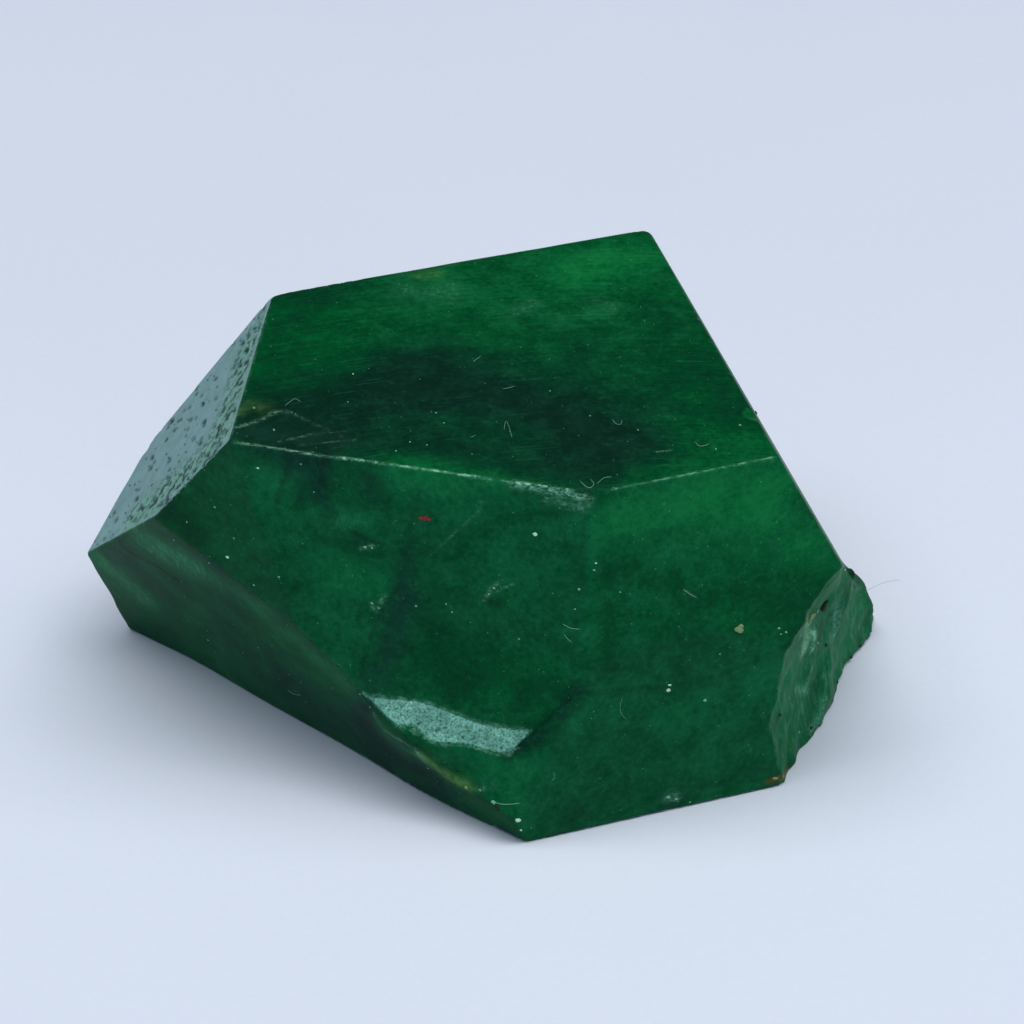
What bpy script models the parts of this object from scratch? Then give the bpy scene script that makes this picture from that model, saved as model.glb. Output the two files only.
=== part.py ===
"""A rough emerald, sawn and ground into a blocky preform: one solid stone that rests on its flat base.

Metres, +Z up. The origin is the middle of the stone's box, on the plane it rests on. +X runs along the stone's
length, from the pitted tail (-X) to the broken corner (+X), and the large ground front faces look to -Y.
"""

import math
import random

import bmesh
import bpy
from mathutils import Vector, noise

MM = 0.001

RAW_SIDE = 140.0 * MM  # block that the faces are sawn from
HEIGHT = 24.0  # mm, base to top face

# Each face of the stone: the azimuth and the elevation that it looks to, in degrees, and its distance from the
# origin, in mm. An elevation below zero is an undercut.
FACES = {
    "top": (0.0, 90.0, HEIGHT),
    "base": (0.0, -90.0, 0.0),
    "frontLeft": (-104.2, 3.0, 15.77),
    "frontRight": (-70.8, 1.15, 18.17),
    "foot": (-70.7, -2.1, 17.56),
    "undercut": (-129.7, -21.1, 11.32),
    "shoulder": (-121.1, -2.05, 16.20),
    "left": (173.9, 34.5, 24.28),
    "right": (15.0, 26.7, 22.30),
    "back": (108.8, 20.7, 15.56),
    "backFoot": (113.0, -7.0, 12.29),
    "tail": (144.7, -4.0, 19.97),
    "broken": (-19.6, -8.8, 21.20),
    "backRight": (58.0, 6.0, 21.59),
}

# The front left face was sawn down only as far as a ledge. These three faces bound what the saw left standing.
RECESSED = "frontLeft"
LEDGE_FACES = {
    "riser": (-112.3, 10.3, 16.76),
    "tread": (-105.9, 34.1, 17.01),
    "ledgeEnd": (154.2, 31.9, -5.38),
}

ALL_FACES = {**FACES, **LEDGE_FACES}

# Shell-shaped bites out of the stone: middle and radius of the ball that fits each one, in mm.
BITES = {
    "brokenHollow": ((28.6, -16.5, 5.0), 12.2),
    "brokenSide": ((34.9, -6.3, 3.4), 14.0),
    "brokenTop": ((32.4, -7.7, 12.6), 11.3),
    "backScoop": ((20.2, 26.5, 5.2), 13.6),
    "backShoulder": ((10.4, 24.9, 17.4), 7.9),
    "backChip": ((2.4, 22.7, -2.0), 5.3),
    "tailScoop": ((-32.6, 7.7, 2.4), 9.3),
    "ridgeChip": ((6.1, -20.2, 26.4), 4.75),
    "rimNick": ((15.9, -8.6, 25.1), 1.3),
}
BITE_DETAIL = 4  # icosphere subdivisions

# Surfaces that are broken or weathered instead of sawn: lump height and lump size, both in mm.
LUMPS = {
    "broken": (0.42, 3.4),
    "backRight": (0.4, 3.8),
    "tail": (0.22, 2.6),
    "bite": (0.2, 2.4),
}
SMALL_LUMPS = (0.4, 2.3)  # height and fineness of the smaller lumps on the large ones
LUMP_SPACING = 1.2  # mm between points on a lumpy surface
FLAT_SPACING = 9.0  # mm between points on a sawn face

# Pits: how many, smallest and largest radius, depth as a share of the radius.
PITS = {
    "left": (26, 0.4, 0.95, 0.36),
    "tail": (12, 0.5, 1.0, 0.34),
    "tread": (7, 0.3, 0.45, 0.45),
}
PIT_POINTS = 2.4  # points across a pit's radius
PIT_SPREAD = 0.55  # how fast the points open out beyond a pit's rim, mm for each mm
PIT_WANDER = (0.35, 1.5)  # how much a pit's rim wanders, as a share of its radius, and how often
PIT_SEED = 7

# The swelling low on the broken corner.
BULGE_AT = Vector((24.0, 4.5, 2.5))
BULGE_RADIUS = 3.2
BULGE_HEIGHT = 0.5

FACE_MATCH = math.cos(math.radians(0.4))  # how nearly a mesh face has to look the way its face of the stone does
FACE_GAP = 0.02 * MM  # and how close it has to lie
WELD = 0.01 * MM
REFINE_PASSES = 9
SPLIT_OVER = 1.45  # an edge is split once it is this many times the spacing wanted

EMERALD = {"color": (0.0075, 0.078, 0.035, 1.0), "roughness": 0.38, "metallic": 0.0, "ior": 1.58}


def clearScene():
    for obj in list(bpy.data.objects):
        bpy.data.objects.remove(obj, do_unlink=True)


def facing(azimuth, elevation):
    """Unit vector that looks to an azimuth (from +X, towards +Y) and an elevation, in degrees."""
    az = math.radians(azimuth)
    el = math.radians(elevation)
    return Vector((math.cos(el) * math.cos(az), math.cos(el) * math.sin(az), math.sin(el)))


def sawOff(bm, face, keepInside=True):
    """Cuts the block along a face and closes the cut."""
    azimuth, elevation, distance = face
    normal = facing(azimuth, elevation)
    cut = bmesh.ops.bisect_plane(
        bm,
        geom=bm.verts[:] + bm.edges[:] + bm.faces[:],
        dist=1e-7,
        plane_co=normal * distance * MM,
        plane_no=normal,
        clear_outer=keepInside,
        clear_inner=not keepInside,
    )
    edges = [item for item in cut["geom_cut"] if isinstance(item, bmesh.types.BMEdge)]
    bmesh.ops.edgeloop_fill(bm, edges=edges)


def rawBlock():
    bm = bmesh.new()
    bmesh.ops.create_cube(bm, size=RAW_SIDE)
    return bm


def meshFrom(bm, name):
    bmesh.ops.recalc_face_normals(bm, faces=bm.faces[:])
    mesh = bpy.data.meshes.new(name)
    bm.to_mesh(mesh)
    bm.free()
    return mesh


def addObject(name, mesh):
    obj = bpy.data.objects.new(name, mesh)
    bpy.context.scene.collection.objects.link(obj)
    return obj


def sawnBlock():
    """The stone with every sawn face but the recessed one, so the whole ledge still stands."""
    bm = rawBlock()
    for name, face in FACES.items():
        if name != RECESSED:
            sawOff(bm, face)
    return addObject("emerald_crystal", meshFrom(bm, "emerald_crystal"))


def wedge(name, faces):
    """What lies outside all of the faces: the waste that a saw frees between them."""
    bm = rawBlock()
    for face in faces:
        sawOff(bm, face, keepInside=False)
    return addObject(name, meshFrom(bm, name))


def ball(name, middle, radius):
    bm = bmesh.new()
    bmesh.ops.create_icosphere(bm, subdivisions=BITE_DETAIL, radius=radius * MM)
    bmesh.ops.translate(bm, verts=bm.verts[:], vec=Vector(middle) * MM)
    return addObject(name, meshFrom(bm, name))


def takeAway(stone, waste):
    """Removes the waste from the stone with a Boolean that stays on the stone."""
    waste.hide_render = True
    waste.display_type = "WIRE"
    cut = stone.modifiers.new(waste.name, "BOOLEAN")
    cut.operation = "DIFFERENCE"
    cut.solver = "EXACT"
    cut.object = waste


def cutStone(stone):
    """Runs the Booleans and gives the stone the resulting mesh."""
    graph = bpy.context.evaluated_depsgraph_get()
    mesh = bpy.data.meshes.new_from_object(stone.evaluated_get(graph))
    for cut in list(stone.modifiers):
        waste = cut.object
        stone.modifiers.remove(cut)
        bpy.data.objects.remove(waste, do_unlink=True)
    stone.data = mesh


def faceNames(bm):
    """Says for each mesh face which face of the stone it belongs to; what fits none is a bite."""
    looks = {name: facing(azimuth, elevation) for name, (azimuth, elevation, _) in ALL_FACES.items()}
    layer = bm.faces.layers.int.new("face")
    names = list(looks) + ["bite"]
    for face in bm.faces:
        face[layer] = names.index("bite")
        middle = face.calc_center_median()
        for name, look in looks.items():
            onFace = abs(look.dot(middle) - ALL_FACES[name][2] * MM) < FACE_GAP
            if onFace and look.dot(face.normal) > FACE_MATCH:
                face[layer] = names.index(name)
    return layer, names


def pitsOn(name, bm, layer, names, rng):
    """Scatters pits over the mesh faces of one face of the stone."""
    count, smallest, largest, share = PITS[name]
    faces = [face for face in bm.faces if face[layer] == names.index(name)]
    areas = [face.calc_area() for face in faces]
    pits = []
    for face in rng.choices(faces, weights=areas, k=count):
        a, b, c = (vert.co for vert in face.verts)
        u, v = sorted((rng.random(), rng.random()))
        middle = a * u + b * (v - u) + c * (1.0 - v)
        radius = rng.uniform(smallest, largest) * MM
        pits.append((middle, radius, radius * share))
    return pits


def spacingAt(point, name, pits):
    """Point spacing wanted on a face at a place: fine in pits, middling on lumps, wide on sawn faces."""
    spacing = LUMP_SPACING * MM if name in LUMPS else FLAT_SPACING * MM
    if name in PITS:
        for middle, radius, _ in pits[name]:
            gap = (point - middle).length - radius
            spacing = min(spacing, max(radius / PIT_POINTS, PIT_SPREAD * gap))
    return spacing


def refine(bm, layer, names, pits):
    """Splits edges until none is much longer than the spacing wanted on the faces beside it."""
    bmesh.ops.triangulate(bm, faces=bm.faces[:])
    for _ in range(REFINE_PASSES):
        tooLong = []
        for edge in bm.edges:
            middle = (edge.verts[0].co + edge.verts[1].co) * 0.5
            wanted = min(spacingAt(middle, names[face[layer]], pits) for face in edge.link_faces)
            if edge.calc_length() > SPLIT_OVER * wanted:
                tooLong.append(edge)
        if not tooLong:
            break
        bmesh.ops.subdivide_edges(bm, edges=tooLong, cuts=1)
        bmesh.ops.triangulate(bm, faces=[face for face in bm.faces if len(face.verts) > 3])


def pitDepth(point, pits):
    depth = 0.0
    wander, often = PIT_WANDER
    for middle, radius, deep in pits:
        rim = radius * (1.0 + wander * noise.noise((point - middle) / radius * often + middle / MM))
        share = (point - middle).length / rim
        if share < 1.0:
            depth = max(depth, deep * (1.0 - share * share))
    return depth


def lump(point, name):
    """Height of the broken surface over its flat face, in metres."""
    height, size = LUMPS[name]
    share, fineness = SMALL_LUMPS
    place = point / (size * MM)
    value = height * (noise.noise(place) + share * noise.noise(place * fineness))
    if name == "broken":
        near = (point / MM - BULGE_AT).length / BULGE_RADIUS
        value += BULGE_HEIGHT * math.exp(-near * near)
    if name == "bite":
        value = -abs(value)
    return value * MM


def pushOf(vert, layer, names, pits):
    """How far a point moves: along the rough faces that it is on, and within the flat ones."""
    push = Vector()
    flat = []
    rough = {}
    for face in vert.link_faces:
        name = names[face[layer]]
        if name in LUMPS or name in PITS:
            rough.setdefault(name, []).append(face.normal)
        elif not any(face.normal.dot(other) > FACE_MATCH for other in flat):
            flat.append(face.normal.copy())
    for name, normals in rough.items():
        look = sum(normals, Vector()).normalized()
        if name in LUMPS:
            push += look * lump(vert.co, name)
        if name in PITS:
            push -= look * pitDepth(vert.co, pits[name])
    if len(flat) > 1:
        return Vector()
    for look in flat:
        push -= look * push.dot(look)
    return push


def roughen(bm, layer, names, pits):
    pushes = [(vert, pushOf(vert, layer, names, pits)) for vert in bm.verts]
    for vert, push in pushes:
        vert.co += push
        vert.co.z = max(vert.co.z, 0.0)


def centre(mesh):
    """Puts the origin under the middle of the stone's box, on its base."""
    low = [min(vert.co[axis] for vert in mesh.vertices) for axis in range(3)]
    high = [max(vert.co[axis] for vert in mesh.vertices) for axis in range(3)]
    shift = Vector(((low[0] + high[0]) * -0.5, (low[1] + high[1]) * -0.5, -low[2]))
    for vert in mesh.vertices:
        vert.co += shift


def emeraldMaterial():
    material = bpy.data.materials.new("emerald")
    material.use_nodes = True
    shader = material.node_tree.nodes["Principled BSDF"]
    shader.inputs["Base Color"].default_value = EMERALD["color"]
    shader.inputs["Roughness"].default_value = EMERALD["roughness"]
    shader.inputs["Metallic"].default_value = EMERALD["metallic"]
    shader.inputs["IOR"].default_value = EMERALD["ior"]
    return material


def makeStone():
    stone = sawnBlock()
    recess = FACES[RECESSED]
    overLedge = [recess, LEDGE_FACES["tread"], LEDGE_FACES["ledgeEnd"]]
    takeAway(stone, wedge("overLedge", overLedge))
    takeAway(stone, wedge("besideRiser", [recess, LEDGE_FACES["riser"]]))
    for name, (middle, radius) in BITES.items():
        takeAway(stone, ball(name, middle, radius))
    cutStone(stone)

    bm = bmesh.new()
    bm.from_mesh(stone.data)
    bmesh.ops.remove_doubles(bm, verts=bm.verts[:], dist=WELD)
    bmesh.ops.triangulate(bm, faces=bm.faces[:])
    bm.normal_update()
    layer, names = faceNames(bm)
    rng = random.Random(PIT_SEED)
    pits = {name: pitsOn(name, bm, layer, names, rng) for name in PITS}
    refine(bm, layer, names, pits)
    bm.normal_update()
    roughen(bm, layer, names, pits)
    stone.data = meshFrom(bm, "emerald_crystal")
    centre(stone.data)
    stone.data.materials.append(emeraldMaterial())
    stone.data.shade_flat()


clearScene()
makeStone()
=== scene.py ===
import math
import random

import bmesh
import bpy
import numpy as np
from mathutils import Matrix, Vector, noise
from mathutils.bvhtree import BVHTree


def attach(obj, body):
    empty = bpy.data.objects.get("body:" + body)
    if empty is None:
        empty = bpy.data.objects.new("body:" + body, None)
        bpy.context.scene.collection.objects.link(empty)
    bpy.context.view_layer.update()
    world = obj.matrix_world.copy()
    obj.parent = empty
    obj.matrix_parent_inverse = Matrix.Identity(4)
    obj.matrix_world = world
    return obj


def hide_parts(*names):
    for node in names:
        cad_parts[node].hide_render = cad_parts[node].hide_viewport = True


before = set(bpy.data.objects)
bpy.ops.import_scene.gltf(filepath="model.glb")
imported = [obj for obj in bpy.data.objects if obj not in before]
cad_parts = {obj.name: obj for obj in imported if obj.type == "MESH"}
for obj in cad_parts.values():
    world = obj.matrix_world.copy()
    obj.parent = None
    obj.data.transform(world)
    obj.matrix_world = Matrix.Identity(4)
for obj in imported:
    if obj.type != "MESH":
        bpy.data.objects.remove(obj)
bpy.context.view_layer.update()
mm = 0.001  # sizes below are in mm, and meshes are in metres
print("frame loaded:", list(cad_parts))


# the camera, which also places named marks on the stone
view = {
    "at": (1.76, -198.58, 150.16),  # mm
    "down": 35.0,  # degrees below level, looking along +Y
    "focal": 140.0,
    "sensor": 36.0,
    "pixels": 1024,
}


def viewAxes():
    tilt = math.radians(view["down"])
    ahead = np.array((0.0, math.cos(tilt), -math.sin(tilt)))
    up = np.array((0.0, math.sin(tilt), math.cos(tilt)))
    return ahead, np.array((1.0, 0.0, 0.0)), up


def viewRay(u, v):
    # unit direction of the camera's ray through a place in the picture
    ahead, right, up = viewAxes()
    scale = view["sensor"] / view["focal"] / view["pixels"]
    half = view["pixels"] / 2
    ray = ahead + (u - half) * scale * right - (v - half) * scale * up
    return ray / np.linalg.norm(ray)


def addCamera():
    data = bpy.data.cameras.new("camera")
    data.lens = view["focal"]
    data.sensor_width = view["sensor"]
    data.clip_end = 10.0
    camera = bpy.data.objects.new("camera", data)
    camera.location = Vector(view["at"]) * mm
    camera.rotation_euler = (math.radians(90.0 - view["down"]), 0.0, 0.0)
    bpy.context.scene.collection.objects.link(camera)
    bpy.context.scene.camera = camera


addCamera()
print("camera placed")


# node trees: shader maths as plain expressions
def maths(operation, flipped=False):
    # an operator that adds one Math node; flipped when the wire stands on the right
    def combine(self, other):
        ends = {0: other, 1: self} if flipped else {0: self, 1: other}
        return self.graph.add("ShaderNodeMath", {"operation": operation}, ends)

    return combine


class Wire:
    def __init__(self, graph, socket):
        self.graph = graph
        self.socket = socket

    __add__ = __radd__ = maths("ADD")
    __mul__ = __rmul__ = maths("MULTIPLY")
    __sub__ = maths("SUBTRACT")
    __rsub__ = maths("SUBTRACT", flipped=True)
    __truediv__ = maths("DIVIDE")
    __rtruediv__ = maths("DIVIDE", flipped=True)

    def limited(self):
        return self.graph.add("ShaderNodeClamp", {}, {"Value": self})

    def ramp(self, low, high):
        # 0 below low, 1 above high, smooth between; low may be the larger one
        settings = {"interpolation_type": "SMOOTHSTEP"}
        if low < high:
            return self.graph.add("ShaderNodeMapRange", settings, {0: self, 1: low, 2: high})
        return 1.0 - self.graph.add("ShaderNodeMapRange", settings, {0: self, 1: high, 2: low})


class Graph:
    def __init__(self, tree):
        self.tree = tree

    def add(self, kind, settings=None, sockets=None, output=0):
        node = self.tree.nodes.new(kind)
        for name, value in (settings or {}).items():
            if name == "stops":
                self.setStops(node.color_ramp, value)
            else:
                setattr(node, name, value)
        for key, value in (sockets or {}).items():
            if isinstance(value, Wire):
                self.tree.links.new(value.socket, node.inputs[key])
            else:
                node.inputs[key].default_value = value
        return Wire(self, node.outputs[output]) if node.outputs else node

    def setStops(self, colorRamp, stops):
        while len(colorRamp.elements) < len(stops):
            colorRamp.elements.new(1.0)
        for element, (place, color) in zip(colorRamp.elements, stops):
            element.position = place
            element.color = color

    def mix(self, share, colorA, colorB, blend="MIX"):
        settings = {"data_type": "RGBA", "blend_type": blend, "clamp_factor": True}
        return self.add("ShaderNodeMix", settings, {0: share, 6: colorA, 7: colorB}, 2)

    def scaled(self, vector, by):
        settings = {"operation": "MULTIPLY"}
        return self.add("ShaderNodeVectorMath", settings, {0: vector, 1: by})

    def placeInMm(self):
        place = self.add("ShaderNodeTexCoord", {}, {}, 3)
        return self.scaled(place, (1.0 / mm, 1.0 / mm, 1.0 / mm))

    def along(self, vector, way):
        # how far a vector reaches along a fixed direction
        settings = {"operation": "DOT_PRODUCT"}
        return self.add("ShaderNodeVectorMath", settings, {0: vector, 1: tuple(way)}, 1)

    def grain(self, vector, size, detail=2.0, rough=0.5, warp=0.0):
        # noise of a size in the vector's units, about 0.5
        looks = {"Scale": 1.0 / size, "Detail": detail, "Roughness": rough, "Distortion": warp}
        return self.add("ShaderNodeTexNoise", {}, {"Vector": vector, **looks})

    def mask(self, name):
        return self.add("ShaderNodeAttribute", {"attribute_name": name}, {}, 2)


def shade(red, green, blue):
    # a colour given as 0 to 255 on screen, as the linear values that nodes take
    def linear(value):
        value = value / 255.0
        return value / 12.92 if value <= 0.04045 else ((value + 0.055) / 1.055) ** 2.4

    return (linear(red), linear(green), linear(blue), 1.0)


def newMaterial(name):
    material = bpy.data.materials.new(name)
    material.use_nodes = True
    material.node_tree.nodes.clear()
    return material, Graph(material.node_tree)


# the faces of the stone: azimuth and elevation in degrees, and distance from the origin in mm, as in CAD
stoneFaces = {
    "top": (0.0, 90.0, 24.0),
    "base": (0.0, -90.0, 0.0),
    "frontRight": (-70.8, 1.15, 18.17),
    "foot": (-70.7, -0.2, 17.92),
    "undercut": (-129.7, -21.1, 11.32),
    "shoulder": (-121.1, -2.05, 16.20),
    "left": (173.9, 34.5, 24.28),
    "right": (15.0, 26.7, 22.30),
    "back": (108.6, 20.7, 16.15),
    "backFoot": (113.0, -7.0, 12.29),
    "tail": (144.7, -4.0, 19.97),
    "broken": (-19.6, -8.8, 21.55),
    "backRight": (58.0, 6.0, 21.59),
}
recessFaces = {
    "frontLeft": (-104.2, 3.0, 15.77),
    "riser": (-105.8, 14.8, 17.16),
    "tread": (-101.7, 33.9, 17.08),
    "ledgeEnd": (147.6, 34.2, -5.43),
}
allFaces = {**stoneFaces, **recessFaces}
ownerNames = list(allFaces) + ["bite"]
hiddenFaces = ("base", "right", "back", "backFoot", "tail", "backRight")

# middle and radius of the ball that fits each shell-shaped bite, mm, and the face that it looks like
bites = {
    "brokenHollow": ((34.5, -16.9, 5.3), 17.75, "bite"),
    "brokenSide": ((34.9, -6.3, 3.4), 13.75, "bite"),
    "brokenTop": ((32.4, -7.7, 12.6), 11.3, "bite"),
    "backScoop": ((20.2, 26.5, 5.2), 13.6, "bite"),
    "backShoulder": ((10.4, 24.9, 17.4), 7.9, "bite"),
    "backChip": ((2.4, 22.7, -2.0), 5.3, "bite"),
    "tailScoop": ((-32.6, 7.7, 2.4), 9.3, "bite"),
    "ridgeChip": ((6.1, -20.2, 26.4), 4.75, "top"),
    "ridgeFlake": ((-10.9, -11.4, 53.8), 30.0, "top"),
    "rimNick": ((15.9, -8.6, 25.1), 1.3, "bite"),
}

# small departures of a face from flat: middle in mm, reach in mm, height in mm (below zero is a hollow)
swells = {
    "tread": [((-3.7, -15.1, 7.3), 1.9, 0.26), ((0.2, -16.2, 6.9), 1.8, -0.1)],
    "riser": [((-5.2, -14.8, 6.8), 1.35, 0.38), ((-2.9, -16.1, 6.2), 1.6, 0.40),
              ((-2.4, -16.2, 3.2), 2.0, -0.7), ((2.6, -17.6, 6.2), 1.2, -0.2)],
    "undercut": [((-5.2, -14.6, 6.0), 1.9, 0.42), ((-3.9, -15.2, 5.2), 1.2, 0.22),
                 ((-3.0, -13.8, 0.0), 5.5, 0.42), ((-18.5, -0.6, 0.0), 5.0, -0.3)],
    "right": [((23.3, 2.0, 4.1), 1.1, 0.62), ((23.9, 2.4, 2.4), 1.1, 0.4), ((22.4, -3.0, 8.7), 0.35, 0.6)],
    "foot": [((10.5, -15.5, 9.6), 5.0, -0.06)],
    "broken": [((24.0, 4.5, 2.5), 3.2, 0.5)],
}

# lump height and lump size of the faces that are broken, not sawn, mm
lumps = {
    "broken": (0.42, 3.4),
    "backRight": (0.4, 3.8),
    "tail": (0.22, 2.6),
    "bite": (0.24, 1.8),
}
smallLumps = (0.4, 2.3)  # height and fineness of the smaller lumps on the large ones

# pits of a face: how many, least and greatest radius in mm, stretch across the grain, depth in mm
pits = {
    "left": {"seed": 4, "count": 60, "radius": (0.45, 0.8), "stretch": 0.36, "depth": 0.13, "clear": 0.3},
    "tread": {"seed": 9, "count": 90, "radius": (0.06, 0.14), "stretch": 1.2, "depth": 0.11, "clear": 0.08},
}
# fine roughness of a face: its size in mm along the grain and across it, the noise that it starts from,
# its depth in mm, how dark it looks and how ragged its edges are
grit = {
    "left": {"size": (0.8, 0.42), "from": 0.0, "depth": 0.06, "dark": 0.9, "ragged": 0.6},
    "tread": {"size": (0.12, 0.15), "from": 0.12, "depth": 0.05, "dark": 0.5, "ragged": 0.0},
}
grain = (0.238, -0.847, 0.476)  # the way that the left face's grain runs
strip = {  # the rough strip along the left face
    "route": [(258, 330), (247, 368), (236, 402), (219, 434), (206, 460), (181, 487), (153, 510), (126, 534)],
    "reach": 2.7,  # half its width, mm
    "streak": (0.36, 1.1),  # size of its pale streaks along the grain and across it, mm
    "pale": 0.42,
    "veil": 0.5,
    # less frost and less painted sheen on the strip
    "frost": -0.3,
}

wear = {
    "round": 0.2,  # how far a ground edge is worn round, mm
    "chip": 0.5,  # how much further where it has chipped
    "chipSize": 0.9,
    "chipFrom": 0.15,  # least and greatest noise between which a chip deepens
    "chipTo": 0.55,
    "chipPatch": 4.2,  # size of the stretches that have chips
    "spared": ((3.0, 5.0), (14.0, 18.0)),  # the back's upper edges, by y and z, have none
    "corners": {  # worn rounder: middle, reach and how much more
        "topBackLeft": ((-12.6, 3.7, 24.0), 1.2, 0.2),
        "topBackRight": ((10.3, 11.8, 24.0), 1.0, 0.2),
    },
    "blunt": {"frontEdge": ((6.2, -16.7, 22.6), (5.3, -17.2, 10.2), 0.9, 1.4)},
    "innerCorner": 0.12,
}

mesh = {
    "crease": 0.13,  # spacing of points along a crease that shows, mm
    "hiddenCrease": 0.32,
    "open": 0.5,  # how fast the points open out from a crease
    "lineOpen": 0.9,  # and from a thin mark
    "faces": {"top": 0.62, "frontLeft": 0.6, "frontRight": 0.62, "foot": 0.65, "undercut": 0.7,
              "shoulder": 0.6, "left": 0.17, "tread": 0.085, "riser": 0.3, "broken": 0.24, "bite": 0.26,
              "ledgeEnd": 0.2},
    "strip": 0.13,
    "hiddenFlat": 1.0,
    "unseen": {"behind": 12.0, "below": 22.8, "under": 0.4, "least": 0.6},  # y and z that no view needs fine
    "rim": 23.2,  # height above which every crease is fine
    "spots": [((23.3, 2.0, 4.1), 2.2, 0.26), ((22.4, -3.0, 8.7), 0.8, 0.13)],  # middle, reach and spacing
    "split": 1.4,  # an edge is split once it is this many times the spacing
    "line": 0.095,  # spacing along the thinnest marks
    "lineReach": 0.32,  # marks wider than this need no points of their own
    "passes": 12,
    "flips": 2,
    "flipFlat": 0.97,
    "settle": 5,
}


def facing(azimuth, elevation):
    az = math.radians(azimuth)
    el = math.radians(elevation)
    return np.array((math.cos(el) * math.cos(az), math.cos(el) * math.sin(az), math.sin(el)))


def noiseAt(points, size, shift=0.0):
    return np.array([noise.noise(place) for place in (points / size + shift).tolist()])


def smoothStep(low, high, value):
    share = np.clip((value - low) / (high - low), 0.0, 1.0)
    return share * share * (3.0 - 2.0 * share)


def hill(points, middle, reach):
    # 1 at a place, and fading to 0 past its reach
    gap = np.linalg.norm(points - np.array(middle), axis=1) / reach
    return np.exp(-gap * gap)


def lumpsAt(points, name, near):
    height, size = lumps[name]
    share, fineness = smallLumps
    value = np.zeros(len(points))
    some = points[near] / size
    value[near] = height * (noiseAt(some, 1.0) + share * noiseAt(some, 1.0 / fineness))
    return value


class Surface:
    # at each point: signed distance, outward direction, the face that owns it and the way to the next crease
    def __init__(self, value, out, owner, margin=None):
        self.value = value
        self.out = out
        self.owner = owner
        self.margin = np.full(len(value), 99.0) if margin is None else margin

    def highest(self, other, rounding, sign=1.0):
        a = self.value * sign
        b = other.value * sign
        turn = np.linalg.norm(self.out - other.out, axis=1) + 1e-6
        reach = np.maximum(rounding * turn, 1e-4)
        lap = np.clip(reach - np.abs(a - b), 0.0, None) / reach
        value = (np.maximum(a, b) + lap * lap * reach * 0.25) * sign
        share = np.clip(0.5 + (b - a) / (2.0 * reach), 0.0, 1.0)[:, None]
        out = self.out * (1.0 - share) + other.out * share
        out /= np.linalg.norm(out, axis=1)[:, None]
        owner = np.where(b > a, other.owner, self.owner)
        margin = np.where(b > a, other.margin, self.margin)
        margin = np.minimum(margin, np.where(turn > 0.01, np.abs(a - b) / turn, 99.0))
        return Surface(value, out, owner, margin)

    def lowest(self, other, rounding):
        return self.highest(other, rounding, -1.0)

    def isOn(self, name):
        return self.owner == ownerNames.index(name)


pitPlaces = {}  # filled once the stone's faces can be tested


def faceAxes(name):
    # along the grain and across it, in the face
    azimuth, elevation, _ = allFaces[name]
    look = facing(azimuth, elevation)
    along = np.array(grain) - look * (look @ np.array(grain))
    along /= np.linalg.norm(along)
    return along, np.cross(look, along)


def placePits(name):
    # scatters a face's pits where they lie clear of its edges
    setting = pits[name]
    dice = random.Random(setting["seed"])
    azimuth, elevation, distance = allFaces[name]
    along, across = faceAxes(name)
    middle = facing(azimuth, elevation) * distance
    tries = np.array([(dice.uniform(-36, 36), dice.uniform(-36, 36)) for _ in range(60 * setting["count"])])
    places = middle + tries[:, :1] * along + tries[:, 1:] * across
    stone = stoneSurface(places, rough=False)
    fits = (np.abs(stone.value) < 0.35) & stone.isOn(name) & (stone.margin > setting["clear"])
    low, high = setting["radius"]
    chosen = []
    for place in places[fits][:setting["count"]]:
        radius = low + (high - low) * dice.random() ** 2
        chosen.append((place @ along, place @ across, radius, setting["depth"] * dice.uniform(0.5, 1.0)))
    return chosen


def stripAt(points):
    # 1 on the rough strip and 0 beside it
    gap = distanceTo(points, strip["line"]) / strip["reach"]
    return np.exp(-gap ** 6)


def clearOf(points, names):
    # how far behind the nearest of some faces each point lies, mm
    gaps = [allFaces[name][2] - points @ facing(*allFaces[name][:2]) for name in names]
    return np.min(gaps, axis=0)


def dentsAt(points, name):
    # depth in mm of a face's pits and grit, and how dark they look
    depth = np.zeros(len(points))
    along, across = faceAxes(name)
    a = points @ along
    b = points @ across
    warp = 1.0 + 0.5 * noiseAt(points, 0.2, 3.0)
    for pitAlong, pitAcross, radius, deep in pitPlaces.get(name, ()):
        gap = ((a - pitAlong) / radius) ** 2 + ((b - pitAcross) / radius / pits[name]["stretch"]) ** 2
        depth = np.maximum(depth, deep * np.clip(1.0 - gap * warp, 0.0, 1.0))
    dark = depth / pits[name]["depth"]
    alongSize, acrossSize = grit[name]["size"]
    spots = np.stack((a / alongSize, b / acrossSize, np.full(len(a), 5.0)), axis=1)
    grainy = noiseAt(spots, 1.0)
    if grit[name]["ragged"]:
        grainy += grit[name]["ragged"] * noiseAt(spots, 0.45, 8.0)
    rough = smoothStep(grit[name]["from"], grit[name]["from"] + 0.3, grainy)
    if name == "left":
        rough *= stripAt(points) * smoothStep(0.15, 0.9, clearOf(points, ("top", "frontLeft", "undercut")))
    return depth + rough * grit[name]["depth"], np.maximum(dark, rough * grit[name]["dark"])


def faceSurface(points, name, rough=True):
    azimuth, elevation, distance = allFaces[name]
    look = facing(azimuth, elevation)
    value = points @ look - distance
    for middle, reach, height in swells.get(name, ()):
        value -= height * hill(points, middle, reach)
    if rough and name in lumps:
        value -= lumpsAt(points, name, np.abs(value) < 1.5)
    if rough and name in pitPlaces:
        some = np.nonzero(np.abs(value) < 0.5)[0]
        value[some] += dentsAt(points[some], name)[0]
    count = len(points)
    return Surface(value, np.tile(look, (count, 1)), np.full(count, ownerNames.index(name)))


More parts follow.
